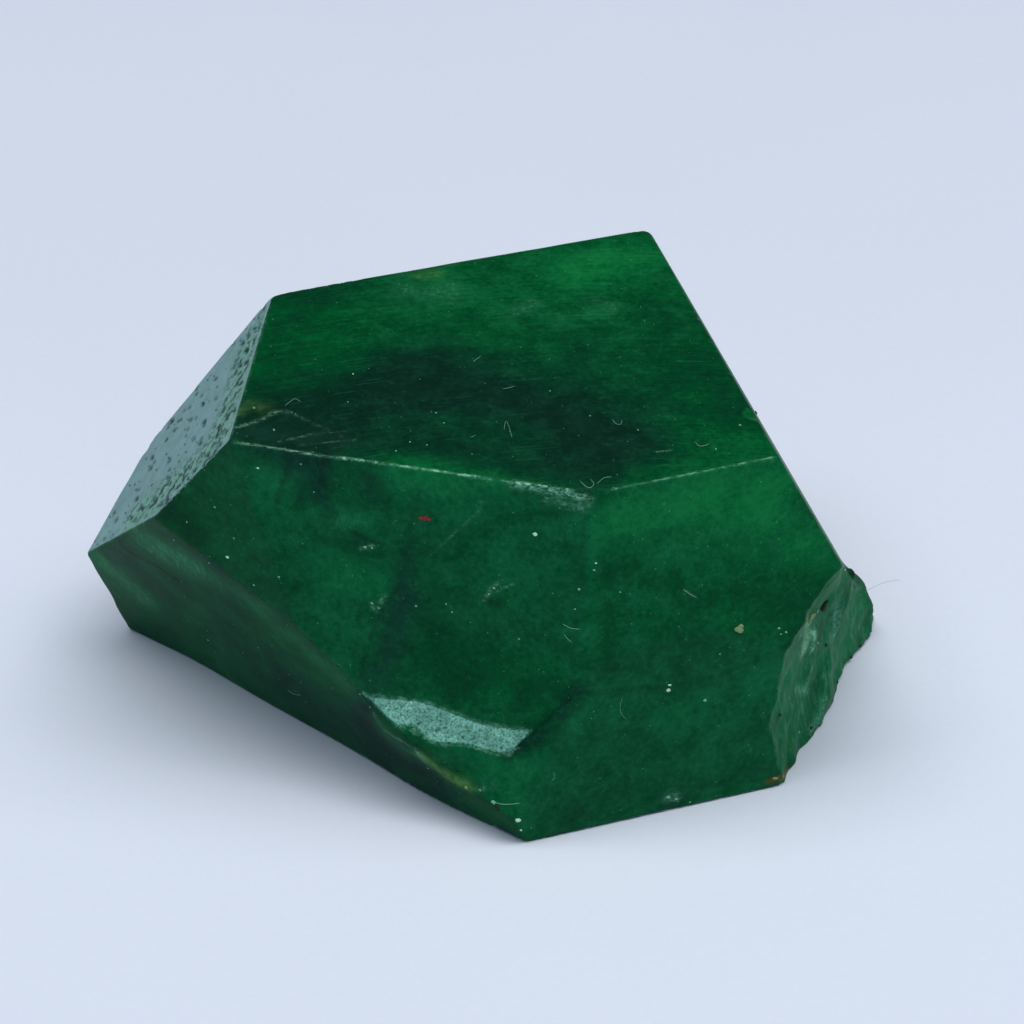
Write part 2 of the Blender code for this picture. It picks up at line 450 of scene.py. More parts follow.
def biteSurface(points, name, rough=True):
    middle, radius, looksLike = bites[name]
    away = points - np.array(middle)
    gap = np.linalg.norm(away, axis=1)
    value = radius - gap
    if rough and looksLike == "bite":
        value -= lumpsAt(points, "bite", np.abs(value) < 1.0)
    count = len(points)
    return Surface(value, -away / gap[:, None], np.full(count, ownerNames.index(looksLike)))


def wearAt(points):
    chips = smoothStep(wear["chipFrom"], wear["chipTo"], noiseAt(points, wear["chipSize"], 31.0))
    chips *= smoothStep(-0.1, 0.35, noiseAt(points, wear["chipPatch"], 7.0))
    farBack, high = wear["spared"]
    chips *= 1.0 - smoothStep(*farBack, points[:, 1]) * smoothStep(*high, points[:, 2])
    amount = wear["round"] * (1.0 + 0.4 * noiseAt(points, 2.4, 3.0)) + wear["chip"] * chips
    for middle, reach, more in wear["corners"].values():
        amount += more * hill(points, middle, reach)
    for start, end, reach, more in wear["blunt"].values():
        gap = distanceTo(points, np.array((start, end))) / reach
        amount += more * np.exp(-gap * gap)
    return amount


def stoneSurface(points, rough=True):
    rounding = wearAt(points) if rough else np.full(len(points), 0.05)
    stone = None
    for name in stoneFaces:
        face = faceSurface(points, name, rough)
        stone = face if stone is None else stone.highest(face, rounding)
    inner = wear["innerCorner"]
    recess = faceSurface(points, "frontLeft")
    overLedge = recess.lowest(faceSurface(points, "tread"), inner)
    overLedge = overLedge.lowest(faceSurface(points, "ledgeEnd"), inner)
    besideRiser = recess.lowest(faceSurface(points, "riser"), inner)
    stone = stone.highest(overLedge, rounding * 0.6).highest(besideRiser, rounding * 0.6)
    for name in bites:
        stone = stone.highest(biteSurface(points, name, rough), rounding * 0.7)
    return stone


def mark(route, reach, ragged=0.0, **amounts):
    # route: picture places that are cast onto the stone; reach in mm; ragged: share that noise takes away
    return {"route": route, "reach": reach, "ragged": ragged, "amounts": amounts}


def marked(places, reach, ragged=0.0, **amounts):
    # the same for places given in mm
    return {**mark(None, reach, ragged, **amounts), "places": places}


# inclusions, veins, stains and scratches, and painted glow, glints, sheen and shade; the amounts are added to
# the masks that the material reads
marks = {
    # top face
    # the top face darker across its middle
    "topDarkMiddle": mark([(262, 430), (330, 402), (400, 386), (470, 392), (560, 410), (612, 446)],
                     2.9, tone=-0.5),
    "topDarkMiddleLow": mark([(330, 444), (420, 440), (500, 460), (585, 474)], 2.0, tone=-0.26),
    "topDarkMiddleHigh": mark([(392, 366), (455, 356)], 2.0, tone=-0.2),
    # painted glow: light coming through the stone at the top's far right corner
    "topGlow": mark([(585, 268), (640, 254)], 2.2, tone=0.28),
    "topGlowWide": mark([(430, 306), (520, 288), (640, 272)], 4.6, tone=0.16),
    "topBand": mark([(562, 323), (588, 316), (612, 310)], 0.7, 0.3, tone=0.2, veil=0.2),
    "topBandHigh": mark([(590, 298), (612, 306)], 0.5, 0.3, veil=0.25),
    "topSmudge": mark([(405, 290), (450, 293)], 1.3, 0.3, veil=0.35, tone=0.1),
    "topSmudgeRight": mark([(515, 312), (532, 303)], 0.6, 0.3, veil=0.4),
    "topRightDeep": mark([(705, 372), (744, 404)], 2.2, tone=-0.12, veil=-0.3),
    "topRightLow": mark([(690, 432), (758, 444)], 1.5, tone=0.14),
    "topLeftDeep": mark([(292, 318), (300, 380)], 2.8, veil=-0.4),
    "topMoss": mark([(240, 411), (252, 404), (264, 408)], 0.5, 0.6, moss=0.3),
    "topMossHigh": mark([(420, 275), (436, 274)], 0.5, 0.6, moss=0.35),
    "topScratch": mark([(657, 452), (672, 450)], 0.06, 0.4, pale=0.4),
    # the shallow flake at the left end of the ridge
    "flakeRim": mark([(228, 431), (236, 427), (250, 424), (266, 417), (276, 411), (290, 412)],
                     0.13, 0.8, pale=0.36),
    "flakeRimRight": mark([(292, 413), (321, 427), (342, 436)], 0.1, 0.8, pale=0.12),
    "flakeShade": mark([(262, 432), (300, 436), (335, 442)], 0.9, tone=-0.3, veil=0.1),
    "flakeScratch": mark([(278, 442), (296, 438), (312, 434), (345, 431)], 0.06, 0.7, pale=0.2),
    "flakeScratchLow": mark([(297, 446), (330, 442), (356, 440)], 0.06, 0.7, pale=0.14),
    "ridgeLeft": mark([(236, 442), (262, 446), (300, 452), (345, 459)], 0.07, 0.55, pale=0.95),
    # front left face
    "leftDeep": mark([(176, 512), (186, 528)], 1.1, tone=-0.14, veil=-0.8),
    "veinA": mark([(290, 457), (285, 478), (277, 500)], 0.2, 0.4, tone=-0.4),
    "veinShade": mark([(303, 460), (304, 494)], 0.9, tone=-0.28),
    "veinB": mark([(323, 458), (322, 490), (331, 522)], 0.35, 0.3, tone=-0.45),
    "blotchA": mark([(373, 480), (374, 498)], 0.8, 0.2, tone=-0.35),
    "blotchB": mark([(334, 538), (354, 541)], 0.9, 0.3, tone=-0.22),
    "crackA": mark([(352, 532), (368, 540), (384, 545)], 0.12, 0.4, tone=-0.4),
    "paleA": mark([(336, 521), (362, 517)], 0.8, 0.3, tone=0.25, veil=0.2),
    "flecksA": mark([(361, 549), (372, 546)], 0.12, 0.5, pale=0.35),
    "paleB": mark([(392, 470), (420, 468)], 1.2, 0.2, tone=0.22),
    "paleC": mark([(432, 480), (505, 494)], 1.3, 0.2, tone=0.2),
    "paleUpLeft": mark([(240, 466), (272, 484)], 1.5, 0.2, tone=0.28, veil=0.1),
    "centreVein": mark([(424, 480), (417, 503), (408, 532)], 0.2, 0.6, tone=-0.18),
    "centreZoneTop": mark([(408, 545), (403, 582)], 0.45, 0.3, tone=-0.25),
    "centreZone": mark([(404, 590), (396, 622), (390, 655), (372, 688)], 0.9, 0.3, tone=-0.3, veil=0.08),
    "centreEdge": mark([(399, 588), (389, 600), (379, 617), (366, 648), (362, 680)], 0.14, 0.7, tone=-0.16),
    "centreFlecks": mark([(371, 604), (376, 611), (384, 596)], 0.14, 0.6, pale=0.25),
    "paleD": mark([(345, 574), (380, 582)], 1.3, 0.2, tone=0.2),
    "lowDeep": mark([(450, 668), (530, 684)], 2.0, tone=-0.08, veil=-0.3),
    "scratchA": mark([(482, 501), (478, 512), (449, 538), (431, 555)], 0.06, 0.7, pale=0.13),
    "dentA": mark([(484, 600), (488, 594), (492, 588), (498, 583)], 0.12, 0.7, pale=0.3),
    "dentShade": mark([(490, 601), (497, 603)], 0.25, 0.3, tone=-0.3),
    "dentB": mark([(496, 592), (503, 588), (514, 584)], 0.07, 0.6, pale=0.22),
    # the blunt edge between the two front faces
    "midEdge": mark([(590, 508), (583, 535), (586, 560), (577, 590), (574, 640), (573, 692)],
                    0.2, 0.6, tone=-0.1),
    "midEdgePale": mark([(596, 508), (592, 536), (594, 562), (586, 592), (582, 640)],
                        0.34, 0.6, tone=0.12, veil=0.1),
    "ridgeScuff": mark([(512, 484), (540, 489), (566, 494), (590, 499)], 0.2, 0.5, pale=0.6),
    "ridgeScuffLow": mark([(548, 499), (586, 508)], 0.3, 0.7, pale=0.25, veil=0.25),
    # front right face and its foot
    # painted glow: the front right face lit from inside, lighter at its top and in its middle
    "rightTopGlow": mark([(620, 516), (700, 500), (772, 486)], 2.0, tone=0.32),
    "rightGlow": mark([(752, 516), (800, 544)], 1.7, tone=0.2),
    "rightDeep": mark([(766, 588), (818, 600)], 2.2, tone=-0.12, veil=-0.8),
    "rightScratch": mark([(684, 590), (696, 597)], 0.06, 0.2, pale=0.2),
    "footEdge": mark([(578, 690), (625, 684), (690, 680), (755, 656), (790, 639), (830, 614)],
                     0.16, 0.6, tone=0.1),
    "footEdgeDark": mark([(580, 694), (626, 689), (692, 685), (757, 661), (792, 644)], 0.24, 0.5, tone=-0.12),
    "footLight": mark([(590, 716), (700, 712), (790, 676)], 1.6, tone=0.12),
    "footDeep": mark([(550, 806), (680, 792), (772, 768)], 1.2, tone=-0.12),
    # undercut
    "tipCrack": mark([(116, 538), (128, 551), (144, 560), (160, 568), (177, 580)], 0.13, 0.2, tone=-0.8),
    # painted light: the undercut lighter and bluer near its upper edge and tip, where it catches more light
    # and a reflection of the sky
    "tipSheen": mark([(146, 540), (164, 551), (182, 560)], 1.5, 0.2, veil=0.55, tone=0.5),
    "tipSheenLow": mark([(200, 569), (250, 600), (300, 642), (340, 680)], 1.2, 0.2, veil=0.25, tone=0.16),
    "tip": mark([(104, 564), (136, 592)], 1.7, 0.2, veil=0.35, tone=0.4),
    # painted shade low on the undercut, above its shadow on the floor
    "underShade": mark([(300, 694), (430, 774)], 2.2, tone=-0.25),
    "underStreak": mark([(222, 640), (220, 668)], 0.4, 0.3, veil=0.25),
    # ledge
    # painted yellow-green glow along the riser's bottom edge, in the moss colour
    "ledgeGlow": mark([(420, 755), (437, 769), (455, 781), (468, 787)], 0.42, 0.3, moss=0.75),
    "ledgeRim": mark([(374, 714), (386, 731), (415, 749), (425, 763)], 0.13, 0.4, pale=0.25, veil=0.2),
    "ledgeHaze": mark([(478, 786), (492, 784)], 0.4, 0.4, veil=0.4),
    # painted shade in the gap at the ledge's left end
    "ledgeGapShade": mark([(365, 708), (374, 742), (388, 768)], 0.6, 0.2, tone=-0.6),
    # painted glow on the riser, which lies in shadow
    "riserGlow": mark([(378, 722), (392, 739), (412, 754), (432, 768)], 0.6, 0.4, tone=0.3, veil=0.2),
    # painted shadow on the ledge's end wall, in the corner between the two front faces
    "ledgeEndShadow": mark([(508, 754), (530, 743), (548, 727), (566, 706), (577, 692)], 0.65, 0.4, tone=-0.4),
    # broken corner
    "blackSpot": mark([(824, 605), (819, 610)], 0.26, 0.5, dark=1.3),
    "blackSpotFlakes": mark([(811, 613), (818, 616)], 0.14, 0.4, rust=0.6, pale=0.5),
    # painted glint on a slab of the broken corner, in the moss and pale colours, brightest along its edges
    "slabGlint": mark([(813, 618), (809, 636), (804, 652)], 0.4, 0.3, moss=1.4, pale=0.7),
    "slabGlintEdge": mark([(817, 618), (814, 634), (811, 650)], 0.13, 0.3, pale=2.2),
    "slabGlintLeft": mark([(806, 622), (801, 640)], 0.12, 0.4, pale=1.3),
    "slabShade": mark([(822, 622), (820, 644)], 0.25, 0.3, tone=-0.4),
    "brokenStreakA": mark([(842, 582), (838, 612), (832, 640)], 0.3, 0.5, veil=0.6, pale=0.4),
    "brokenStreakC": mark([(826, 700), (820, 716), (812, 728)], 0.3, 0.5, veil=0.7, pale=0.35),
    "brokenLight": mark([(852, 585), (856, 610), (846, 640), (832, 668)], 1.1, 0.2, tone=0.25, veil=0.3),
    "brokenStreakB": mark([(850, 590), (846, 625)], 0.3, 0.5, veil=0.4),
    "brokenDot": mark([(826, 645), (827, 646)], 0.12, 0.1, dark=0.8),
    "brokenHaze": mark([(797, 655), (788, 684), (783, 706)], 0.6, 0.3, veil=0.8, tone=0.2),
    "brokenPatch": mark([(798, 690), (808, 691)], 0.26, 0.2, pale=0.5, veil=0.6),
    "brokenLineA": mark([(792, 704), (789, 720), (787, 738)], 0.12, 0.4, pale=0.45),
    "brokenLineB": mark([(812, 668), (806, 684)], 0.14, 0.5, pale=0.35),
    "brokenLineC": mark([(802, 706), (798, 728), (797, 748)], 0.2, 0.5, veil=0.7, pale=0.15),
    "brokenLineD": mark([(831, 612), (828, 630)], 0.14, 0.5, pale=0.4),
    "brokenBlotch": mark([(818, 676), (812, 704)], 0.7, 0.3, tone=-0.3),
    "brokenLowDark": mark([(804, 750), (796, 762), (790, 770)], 0.7, 0.3, tone=-0.35, veil=-0.3),
    "brokenSlit": mark([(780, 712), (777, 730)], 0.1, 0.1, dark=0.8),
    "brokenRim": mark([(846, 573), (822, 593), (808, 612), (799, 636), (788, 668), (779, 700),
                       (773, 724)], 0.12, 0.6, pale=0.4),
    # the sides turned away, by points of the stone in mm
    "backVein": marked([(-9, 9, 22), (-7, 11, 15), (-9, 14, 9), (-6, 16, 3)], 0.35, 0.4, tone=-0.4),
    "backVeinPale": marked([(7, 12, 21), (4, 14, 13), (7, 16, 6)], 0.2, 0.6, veil=0.7),
    "backCloud": marked([(-2, 12, 14), (5, 13, 16)], 2.8, 0.2, tone=-0.2),
    "backGlow": marked([(-14, 11, 10), (-17, 12, 6)], 2.5, tone=0.25),
    "backMoss": marked([(-3, 17, 1.5), (3, 18, 1.5)], 0.7, 0.5, moss=0.4),
    "rightCloud": marked([(18, 4, 13), (20, 0, 8)], 2.5, 0.2, tone=-0.3),
    "rightVein": marked([(14, 8, 20), (18, 6, 12), (21, 4, 6)], 0.25, 0.4, tone=-0.4),
    "rightVeinPale": marked([(16, -3, 19), (19, 2, 12), (19, 8, 7)], 0.2, 0.6, veil=0.6),
    "heelRust": mark([(770, 781), (780, 778), (789, 772)], 0.22, 0.5, rust=0.55),
    "heelPatch": mark([(668, 798), (676, 797)], 0.3, 0.4, veil=0.6, pale=0.3),
}


def castTree():
    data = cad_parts["emerald_crystal"].data
    corners = [tuple(vert.co / mm) for vert in data.vertices]
    return BVHTree.FromPolygons(corners, [tuple(face.vertices) for face in data.polygons])


castTarget = castTree()


def placeOn(u, v, target=castTarget):
    # the point of the stone, in mm, that shows at a place in the picture, and its outward direction
    ray = viewRay(u, v)
    hit, out, _, _ = target.ray_cast(Vector(view["at"]), Vector(ray))
    if hit is None:
        print(f"no stone at {u}, {v}")
        return np.array((0.0, 0.0, 0.0)), np.array((0.0, 0.0, 1.0))
    return np.array(hit), np.array(out)


def routeOn(places, step=14.0):
    route = []
    for (u0, v0), (u1, v1) in zip(places, places[1:]):
        count = max(1, int(math.hypot(u1 - u0, v1 - v0) / step))
        route += [placeOn(u0 + (u1 - u0) * k / count, v0 + (v1 - v0) * k / count)[0] for k in range(count)]
    route.append(placeOn(*places[-1])[0])
    return np.array(route)


def distanceTo(points, route):
    best = np.full(len(points), 1e6)
    for start, end in zip(route, route[1:]):
        span = end - start
        share = np.clip((points - start) @ span / max(span @ span, 1e-9), 0.0, 1.0)
        best = np.minimum(best, np.linalg.norm(points - start - share[:, None] * span, axis=1))
    return best


def settleRoute(route):
    # slides a route's points along the view on to the stone's own surface
    rays = route - np.array(view["at"])
    rays /= np.linalg.norm(rays, axis=1)[:, None]
    moved = route.copy()
    for _ in range(4):
        stone = stoneSurface(moved, rough=False)
        lean = np.minimum(np.sum(rays * stone.out, axis=1), -0.15)
        moved += rays * np.clip(-stone.value / lean, -0.8, 0.8)[:, None]
    return moved


def nearestRoute(places):
    # brings a route given in mm on to the stone's surface
    moved = np.array(places, dtype=float)
    for _ in range(6):
        stone = stoneSurface(moved, rough=False)
        moved -= stone.out * stone.value[:, None]
    return moved


strip["line"] = settleRoute(routeOn(strip["route"]))
for drawn in marks.values():
    if drawn["route"]:
        drawn["line"] = settleRoute(routeOn(drawn["route"]))
    else:
        drawn["line"] = nearestRoute(drawn["places"])
for name in pits:
    pitPlaces[name] = placePits(name)


def nearMark(points, drawn, within):
    low = drawn["line"].min(axis=0) - within
    high = drawn["line"].max(axis=0) + within
    return np.nonzero(np.all((points > low) & (points < high), axis=1))[0]


def spacingAt(points):
    # spacing of points that the stone's mesh needs at each place
    stone = stoneSurface(points, rough=False)
    spacing = np.full(len(points), mesh["hiddenFlat"])
    crease = np.full(len(points), mesh["crease"])
    for name in ownerNames:
        mine = stone.isOn(name)
        if name in hiddenFaces:
            crease[mine] = mesh["hiddenCrease"]
        else:
            spacing[mine] = mesh["faces"][name]
    unseen = mesh["unseen"]
    hidden = (points[:, 1] > unseen["behind"]) & (points[:, 2] < unseen["below"])
    hidden |= points[:, 2] < unseen["under"]
    spacing[hidden] = np.maximum(spacing[hidden], unseen["least"])
    crease[hidden] = mesh["hiddenCrease"]
    crease[points[:, 2] > mesh["rim"]] = mesh["crease"]
    spacing = np.minimum(spacing, crease + mesh["open"] * stone.margin)
    spacing[stone.isOn("left") & (distanceTo(points, strip["line"]) < strip["reach"])] = mesh["strip"]
    for middle, reach, fine in mesh["spots"]:
        gap = np.linalg.norm(points - np.array(middle), axis=1) - reach
        spacing = np.minimum(spacing, fine + mesh["lineOpen"] * np.maximum(gap, 0.0))
    for drawn in marks.values():
        reach = drawn["reach"]
        if reach > mesh["lineReach"]:
            continue
        near = nearMark(points, drawn, reach + 0.8)
        gap = distanceTo(points[near], drawn["line"]) - reach
        wanted = max(mesh["line"], reach * 0.8) + mesh["lineOpen"] * np.maximum(gap, 0.0)
        spacing[near] = np.minimum(spacing[near], wanted)
    return spacing


keySize = 1 << 24  # more than the mesh has points


def pairKeys(pairs):
    # one number for each pair of points, whichever way round it is
    return pairs.min(axis=1) * keySize + pairs.max(axis=1)


def edgesOf(triangles):
    # each edge once, and for each side of each triangle the edge that it is
    sides = np.concatenate([triangles[:, (0, 1)], triangles[:, (1, 2)], triangles[:, (2, 0)]])
    keys, which = np.unique(pairKeys(sides), return_inverse=True)
    return np.stack((keys // keySize, keys % keySize), axis=1), which.reshape(3, -1).T


def split(points, triangles, chosen, edges, which):
    # cuts the chosen edges in half, and each triangle into two, three or four to match
    middle = np.full(len(edges), -1)
    middle[chosen] = len(points) + np.arange(chosen.sum())
    points = np.concatenate([points, points[edges[chosen]].mean(axis=1)])
    halves = middle[which]
    cuts = (halves >= 0).sum(axis=1)
    made = [triangles[cuts == 0]]
    turned = triangles.copy()
    for _ in range(2):  # turns each triangle until its cut sides come first
        wrong = ((cuts == 1) & (halves[:, 0] < 0)) | ((cuts == 2) & (halves[:, 2] >= 0))
        turned[wrong] = np.roll(turned[wrong], -1, axis=1)
        halves[wrong] = np.roll(halves[wrong], -1, axis=1)
    a, b, c = turned[cuts == 1].T
    ab = halves[cuts == 1, 0]
    made += [np.stack(face, axis=1) for face in ((a, ab, c), (ab, b, c))]
    a, b, c = turned[cuts == 2].T
    ab, bc = halves[cuts == 2, 0], halves[cuts == 2, 1]
    toBc = np.linalg.norm(points[a] - points[bc], axis=1) < np.linalg.norm(points[ab] - points[c], axis=1)
    made.append(np.stack((ab, b, bc), axis=1))
    made.append(np.stack((a, ab, np.where(toBc, bc, c)), axis=1))
    made.append(np.stack((np.where(toBc, a, ab), bc, c), axis=1))
    a, b, c = turned[cuts == 3].T
    ab, bc, ca = halves[cuts == 3].T
    made += [np.stack(face, axis=1) for face in ((a, ab, ca), (ab, b, bc), (ca, bc, c), (ab, bc, ca))]
    return points, np.concatenate(made)


def corner(points, tip, one, other):
    # cosine and sine of the angle at a triangle's tip
    p = points[one] - points[tip]
    q = points[other] - points[tip]
    return np.sum(p * q, axis=1), np.linalg.norm(np.cross(p, q), axis=1)


def flip(points, triangles):
    # turns an edge to the other diagonal of its two triangles where that makes them less thin
    edges, which = edgesOf(triangles)
    order = np.argsort(which.T.ravel(), kind="stable").reshape(-1, 2)
    face, side = order % len(triangles), order // len(triangles)
    a = triangles[face[:, 0], side[:, 0]]
    b = triangles[face[:, 0], (side[:, 0] + 1) % 3]
    c = triangles[face[:, 0], (side[:, 0] + 2) % 3]
    d = triangles[face[:, 1], (side[:, 1] + 2) % 3]
    cosC, sinC = corner(points, c, a, b)
    cosD, sinD = corner(points, d, a, b)
    tips = points[triangles]
    out = np.cross(tips[:, 1] - tips[:, 0], tips[:, 2] - tips[:, 0])
    out /= np.linalg.norm(out, axis=1)[:, None] + 1e-12
    flat = np.sum(out[face[:, 0]] * out[face[:, 1]], axis=1) > mesh["flipFlat"]
    gain = -(cosC * sinD + cosD * sinC) / (sinC * sinD + 1e-9)
    wanted = flat & (gain > 0.05)
    crossing = pairKeys(np.stack((c, d), axis=1))
    some = np.nonzero(wanted)[0]
    wanted[some] = ~np.isin(crossing[some], pairKeys(edges))
    rank = np.where(wanted, -gain, np.inf)
    best = np.full(len(triangles), np.inf)
    np.minimum.at(best, face[:, 0], rank)
    np.minimum.at(best, face[:, 1], rank)
    wanted &= (rank == best[face[:, 0]]) & (rank == best[face[:, 1]])
    _, first = np.unique(crossing[wanted], return_index=True)
    some = np.nonzero(wanted)[0][first]
    triangles[face[some, 0]] = np.stack((a[some], d[some], c[some]), axis=1)
    triangles[face[some, 1]] = np.stack((d[some], b[some], c[some]), axis=1)
    return triangles


def refine(points, triangles):
    # splits edges until none is much longer than the spacing wanted there
    for _ in range(mesh["passes"]):
        edges, which = edgesOf(triangles)
        length = np.linalg.norm(points[edges[:, 0]] - points[edges[:, 1]], axis=1)
        chosen = length > mesh["split"] * spacingAt(points[edges].mean(axis=1))
        if not chosen.any():
            break
        points, triangles = split(points, triangles, chosen, edges, which)
        for _ in range(mesh["flips"]):
            triangles = flip(points, triangles)
    return points, triangles


def settle(points, edges):
    # evens the mesh out, then moves each point onto the stone's surface
    starts, ends = edges[:, 0], edges[:, 1]
    count = np.bincount(edges.ravel(), minlength=len(points))[:, None]
    for turn in range(mesh["settle"]):
        total = np.stack([
            np.bincount(starts, points[ends, axis], len(points))
            + np.bincount(ends, points[starts, axis], len(points))
            for axis in range(3)
        ], axis=1)
        stone = stoneSurface(points)
        slide = (total / count - points) * (0.5 if turn < mesh["settle"] - 2 else 0.0)
        slide -= stone.out * np.sum(slide * stone.out, axis=1)[:, None]
        points = points + slide - stone.out * stone.value[:, None]
    points[:, 2] = np.maximum(points[:, 2], 0.0)
    return points


def cadMesh():
    # the CAD stone as welded points in mm and triangles
    bm = bmesh.new()
    bm.from_mesh(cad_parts["emerald_crystal"].data)
    bmesh.ops.remove_doubles(bm, verts=bm.verts[:], dist=0.001 * mm)
    points = np.array([vert.co for vert in bm.verts]) / mm
    triangles = np.array([[vert.index for vert in face.verts] for face in bm.faces])
    bm.free()
    return points, triangles


def meshData(name, points, triangles):
    data = bpy.data.meshes.new(name)
    data.from_pydata((points * mm).tolist(), [], triangles.tolist())
    data.update()
    data.shade_smooth()
    return data


def stoneMesh():
    points, triangles = refine(*cadMesh())
    return settle(points, edgesOf(triangles)[0]), triangles


stonePoints, stoneTriangles = stoneMesh()
stoneData = meshData("emerald_stone", stonePoints, stoneTriangles)
dressed = BVHTree.FromPolygons(stonePoints.tolist(), stoneTriangles.tolist())
print("stone meshed:", len(stoneData.polygons), "triangles")


# colours of the stone, some of them used for painted glow, glint, sheen and shade
tones = {
    "cloud": shade(6, 36, 26),
    "dark": shade(3, 50, 31),
    "deep": shade(0, 66, 31),
    "light": shade(3, 86, 43),
    "glow": shade(9, 106, 49),
    "veil": shade(44, 100, 84),
    # moss-green tint, also used for the painted glow under the ledge and the painted glint on the broken
    # corner
    "moss": shade(78, 120, 62),
    # milky veil colour, also used for painted sheen
    "rust": shade(128, 78, 22),
    # pale frost with a painted bluish sheen, the sky's reflection on the left face
    "frost": shade(126, 165, 169),
    "frostGreen": shade(104, 164, 143),
    "pale": shade(122, 178, 150),
    "spark": shade(150, 202, 184),
    "pit": shade(13, 42, 36),
    "black": shade(8, 16, 14),
}
faceLooks = {  # each face before its marks, as the first of the channels below: tone, veil, frost and so on; veil and frost also carry painted sheen
    "top": (0.46, 0.06, 0.0, 1.0, 0.1, 0.8),
    "frontLeft": (0.56, 0.13, 0.0, 0.1, 0.35, 1.0),
    "frontRight": (0.60, 0.06, 0.0, 0.1, 1.0, 0.9),
    "foot": (0.54, 0.16, 0.0, 0.1, 0.4, 0.8),
    "undercut": (0.37, 0.06, 0.0, 0.1, 0.2, 0.5),
    "shoulder": (0.50, 0.16, 0.0, 0.1, 0.35, 1.0),
    "left": (0.50, 0.0, 1.0, 0.0, 0.0, 0.0),
    "riser": (0.58, 0.10, 0.0, 0.1, 0.2, 0.6),
    "tread": (0.50, 0.9, 1.0, 0.0, 0.0, 0.0),
    "ledgeEnd": (0.42, 0.10, 0.0, 0.0, 0.0, 0.0),
    "broken": (0.80, 0.36, 0.0, 0.0, 0.8, 0.8),
    "bite": (0.80, 0.36, 0.0, 0.0, 0.8, 0.8),
    "tail": (0.50, 0.25, 0.45, 0.0, 0.4, 0.5),
    "backRight": (0.56, 0.30, 0.12, 0.0, 0.8, 0.8),
    "right": (0.54, 0.12, 0.0, 0.5, 0.8, 0.8),
    "back": (0.52, 0.12, 0.0, 0.5, 0.8, 0.8),
    "backFoot": (0.44, 0.20, 0.0, 0.3, 0.5, 0.5),
    "base": (0.42, 0.20, 0.25, 0.0, 0.4, 0.0),
}
ridges = {  # worn edges that show as a pale line: the two faces, width in mm, strength
    "topFrontLeft": ("top", "frontLeft", 0.14, 0.9),
    "topFrontRight": ("top", "frontRight", 0.13, 0.75),
    "topLeft": ("top", "left", 0.10, 0.25),
    "treadRecess": ("tread", "frontLeft", 0.12, 0.3),
    "treadRiser": ("tread", "riser", 0.13, 0.35),
}


def nearFace(points, name, width):
    # 1 on a face's own plane, and 0 once further from it than the width
    gap = np.abs(faceSurface(points, name, rough=False).value)
    return 1.0 - smoothStep(0.3 * width, width, gap)


channels = ("tone", "veil", "frost", "streak", "crack", "dust", "pale", "dark", "moss", "rust", "pit")


def paint(points):
    # the masks that the stone's material reads, at each point
    stone = stoneSurface(points)
    masks = {name: np.zeros(len(points)) for name in channels}
    for name, values in faceLooks.items():
        mine = stone.isOn(name)
        for channel, value in zip(channels, values):
            masks[channel][mine] = value
    masks["frost"] *= smoothStep(0.0, 0.2, stone.margin)  # keeps its edge smooth
    for name in pitPlaces:
        mine = np.nonzero(stone.isOn(name))[0]
        masks["pit"][mine] = dentsAt(points[mine], name)[1] * smoothStep(0.05, 0.3, stone.margin[mine])
    clear = smoothStep(0.05, 0.4, stone.margin)
    onStrip = stripAt(points) * stone.isOn("left") * clear
    along, across = faceAxes("left")
    alongSize, acrossSize = strip["streak"]
    streak = np.stack((points @ along / alongSize, points @ across / acrossSize, points[:, 2] * 0.0), axis=1)
    masks["pale"] += strip["pale"] * onStrip * smoothStep(0.05, 0.35, noiseAt(streak, 1.0, 17.0))
    masks["veil"] += strip["veil"] * onStrip
    masks["frost"] += strip["frost"] * onStrip
    for one, other, width, strength in ridges.values():
        speckle = 0.35 + 0.65 * smoothStep(-0.25, 0.35, noiseAt(points, 0.35, 5.0))
        theirs = stone.isOn(one) | stone.isOn(other)
        edge = nearFace(points, one, width) * nearFace(points, other, width) * speckle
        edge *= strength * theirs
        edge *= 1.0 - smoothStep(width, 2.0 * width, stone.margin)
        if one == "tread":
            edge *= faceSurface(points, "ledgeEnd", rough=False).value > -0.1
        masks["pale"] = np.maximum(masks["pale"], edge)
    for drawn in marks.values():
        reach = drawn["reach"]
        some = nearMark(points, drawn, reach * 2.6)  # past this the mark has faded
        gap = distanceTo(points[some], drawn["line"]) / reach
        amount = np.exp(-gap * gap)
        if drawn["ragged"]:
            tear = smoothStep(-0.3, 0.4, noiseAt(points[some], max(0.22, reach * 0.9), 11.0))
            amount *= 1.0 - drawn["ragged"] * (1.0 - tear)
        for channel, strength in drawn["amounts"].items():
            masks[channel][some] += amount * strength
    return masks


def storeMasks(data, masks):
    for name, values in masks.items():
        layer = data.attributes.new(name, "FLOAT", "POINT")
        layer.data.foreach_set("value", values.astype(np.float32))


storeMasks(stoneData, paint(stonePoints))
print("stone painted:", len(marks), "marks")


